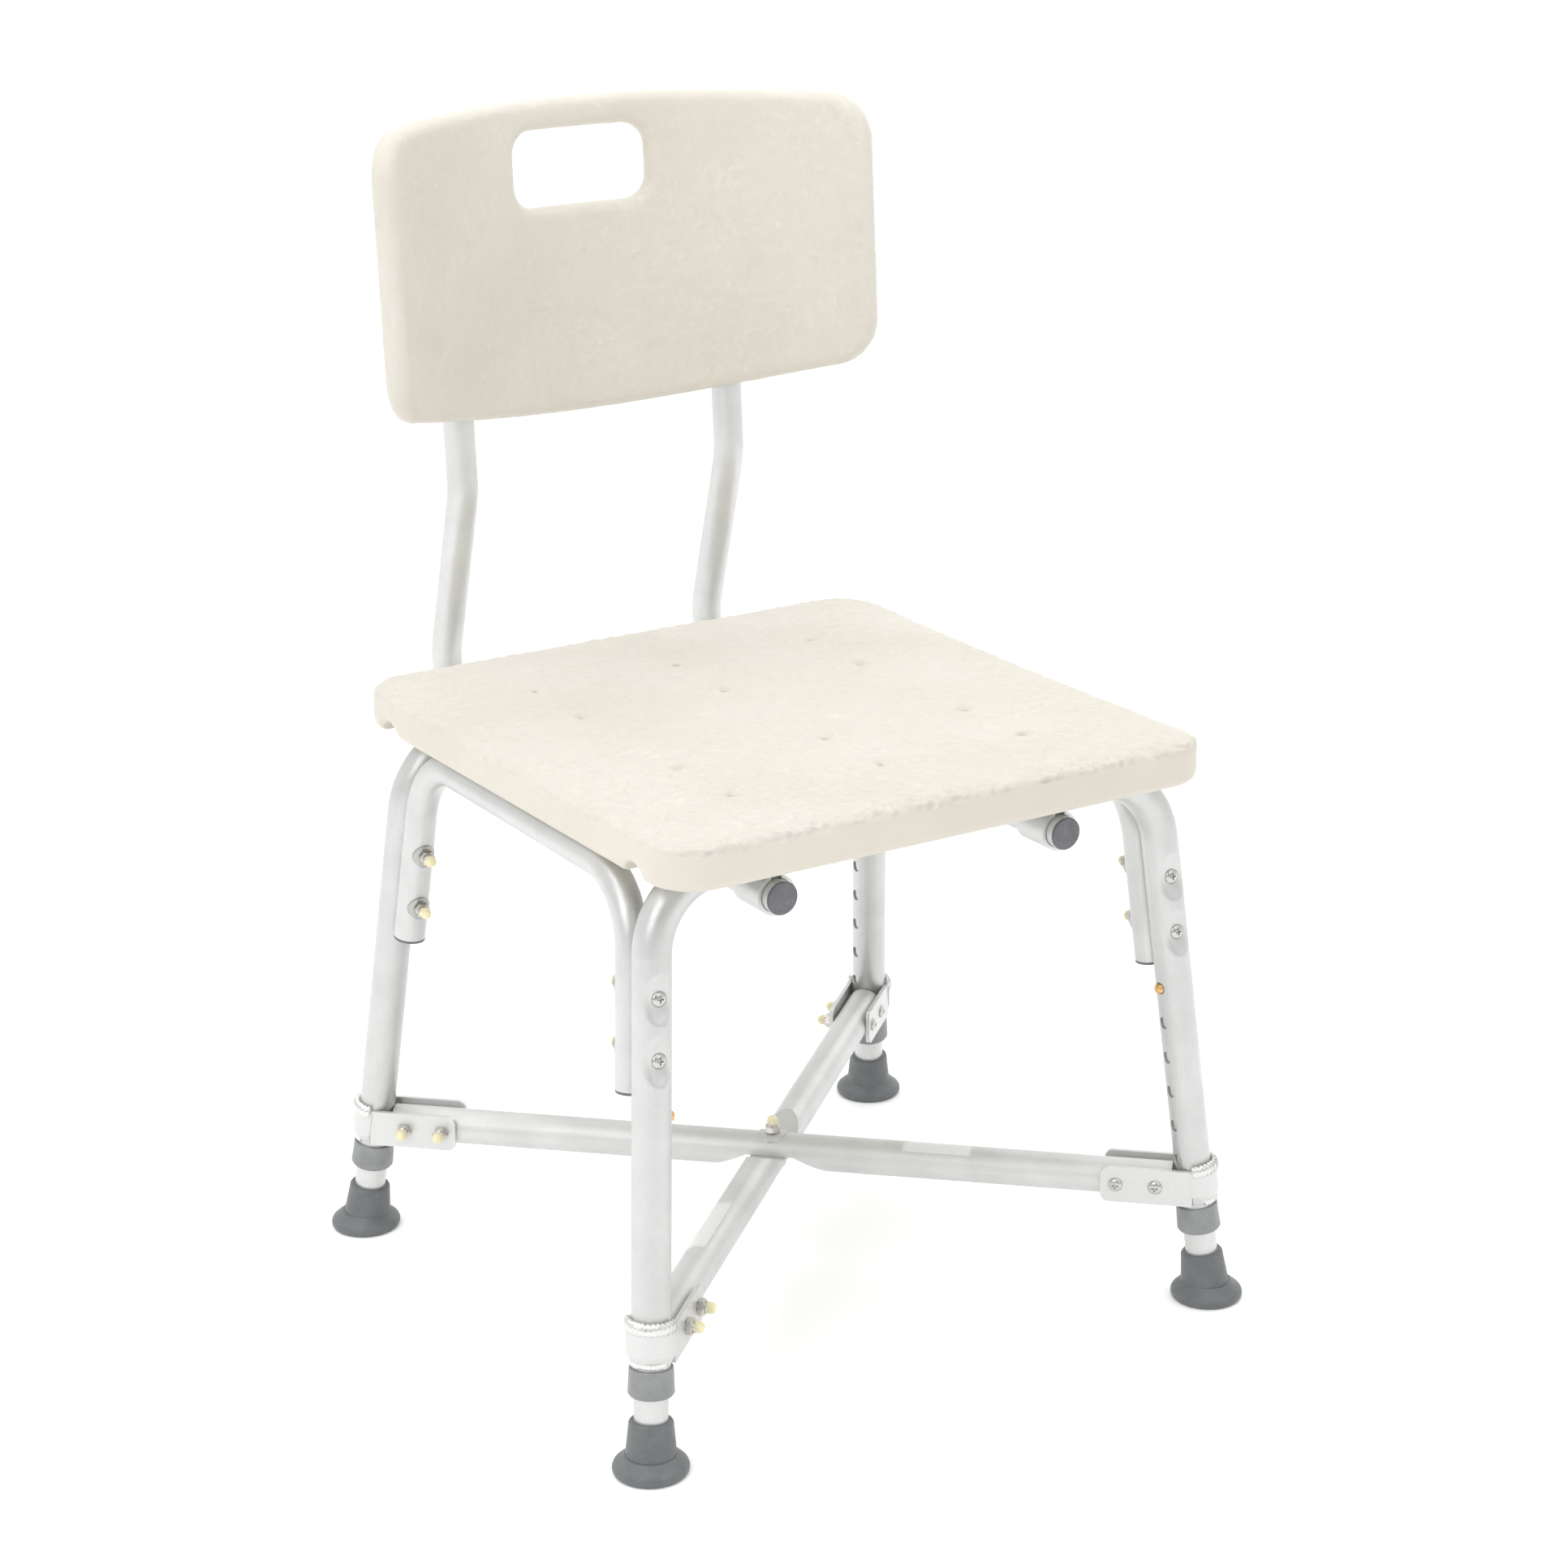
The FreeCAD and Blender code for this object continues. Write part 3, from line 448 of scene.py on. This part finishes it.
def label(name, pair, start, length, turn_deg, wrap_deg):
    a = leg_point(pair[0], BRACE_Z)
    along = brace_direction(pair)
    up = Vector((0, 0, 1))
    side = up.cross(along)
    radius = LEG_R + LABEL_THICKNESS
    rows, columns = 24, 12
    verts, faces = [], []
    for i in range(columns + 1):
        for k in range(rows + 1):
            angle = math.radians(turn_deg + wrap_deg * (k / rows - 0.5))
            direction = up * math.cos(angle) + side * math.sin(angle)
            verts.append(a + along * (start + length * i / columns) + direction * radius)
    for i in range(columns):
        for k in range(rows):
            p = i * (rows + 1) + k
            faces.append((p, p + 1, p + rows + 2, p + rows + 1))
    made = mesh_object(name, verts, faces)
    solid = made.modifiers.new("thickness", "SOLIDIFY")
    solid.thickness = LABEL_THICKNESS
    solid.offset = 1.0
    paint(made, LABEL)
    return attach(made, "frame")


label("label_lower", BRACES[1], start=0.112, length=0.072, turn_deg=50, wrap_deg=130)
label("label_upper", BRACES[0], start=0.388, length=0.049, turn_deg=10, wrap_deg=100)


# Stage: camera, floor and soft light
def camera():
    azimuth, elevation, roll = (math.radians(v) for v in (-31.9, 18.72, -0.5))
    back = Vector((math.sin(azimuth) * math.cos(elevation), -math.cos(azimuth) * math.cos(elevation),
                   math.sin(elevation)))
    right = Vector((math.cos(azimuth), math.sin(azimuth), 0))
    up = back.cross(right)
    right, up = (right * math.cos(roll) + up * math.sin(roll), up * math.cos(roll) - right * math.sin(roll))
    data = bpy.data.cameras.new("camera")
    data.sensor_width = 36.0
    data.lens = 80.53
    data.clip_end = 60.0
    made = link(bpy.data.objects.new("camera", data))
    place = Matrix((right, up, back)).transposed().to_4x4()
    place.translation = Vector((-1.1963, -1.9411 + SHIFT_Y, 1.1332))
    made.matrix_world = place
    bpy.context.scene.camera = made


def area_light(name, location, target, size, energy):
    data = bpy.data.lights.new(name, "AREA")
    data.shape = "RECTANGLE"
    data.size, data.size_y = size
    data.energy = energy
    made = link(bpy.data.objects.new(name, data))
    made.location = location
    made.rotation_euler = (Vector(target) - Vector(location)).to_track_quat("-Z", "Y").to_euler()


def stage_floor():
    half = 30.0
    floor = mesh_object("floor", [(-half, -half, 0), (half, -half, 0), (half, half, 0), (-half, half, 0)],
                        [(0, 1, 2, 3)], smooth=False)
    g = Graph("floor_paint")
    tone = g.ramp(g.noise(3.0, 4.0), 0.3, 0.7)
    g.set(Base_Color=g.mix(tone, rgba(0.93, 0.93, 0.93), rgba(0.945, 0.945, 0.945)), Roughness=0.75,
          Specular_IOR_Level=0.2, Emission_Color=rgba(1.0, 1.0, 1.0), Emission_Strength=0.10)
    paint(floor, g.material)


camera()
stage_floor()


def studio_world():
    """Soft white surroundings: darker on the camera's side, brighter to its left, so metal shows its bands."""
    world = bpy.data.worlds.new("studio")
    world.use_nodes = True
    tree = world.node_tree
    direction = tree.nodes.new("ShaderNodeTexCoord").outputs["Generated"]

    def lobe(axis, low, high, gain):
        dot = tree.nodes.new("ShaderNodeVectorMath")
        dot.operation = "DOT_PRODUCT"
        dot.inputs[1].default_value = axis
        tree.links.new(direction, dot.inputs[0])
        span = tree.nodes.new("ShaderNodeMapRange")
        span.interpolation_type = "SMOOTHSTEP"
        for socket, value in (("From Min", low), ("From Max", high), ("To Min", 0.0), ("To Max", gain)):
            span.inputs[socket].default_value = value
        tree.links.new(dot.outputs["Value"], span.inputs["Value"])
        return span.outputs["Result"]

    total = tree.nodes.new("ShaderNodeMath")
    total.inputs[1].default_value = 1.0
    tree.links.new(lobe((-0.528, -0.849, 0.0), 0.05, 0.90, -0.48), total.inputs[0])
    strength = total.outputs[0]
    for lobe_value in (lobe((-0.849, 0.528, 0.0), 0.35, 0.95, 0.05), lobe((0.0, 0.0, 1.0), 0.45, 1.0, 0.35)):
        add = tree.nodes.new("ShaderNodeMath")
        tree.links.new(strength, add.inputs[0])
        tree.links.new(lobe_value, add.inputs[1])
        strength = add.outputs[0]
    background = tree.nodes["Background"]
    background.inputs["Color"].default_value = (1.0, 0.997, 0.99, 1.0)
    tree.links.new(strength, background.inputs["Strength"])
    bpy.context.scene.world = world


studio_world()
bpy.context.scene.view_settings.view_transform = "Standard"
area_light("key", (-2.65, -1.4, 2.2), (0, 0, 0.4), (1.8, 2.0), 26)
area_light("top", (-0.4, 0.3, 3.2), (0, 0, 0.3), (3.0, 3.0), 42)
area_light("front", (0.6, -3.2, 2.4), (0, 0, 0.5), (2.2, 1.6), 13)
area_light("rim", (2.6, 1.4, 1.6), (0, 0, 0.5), (1.2, 2.0), 10)
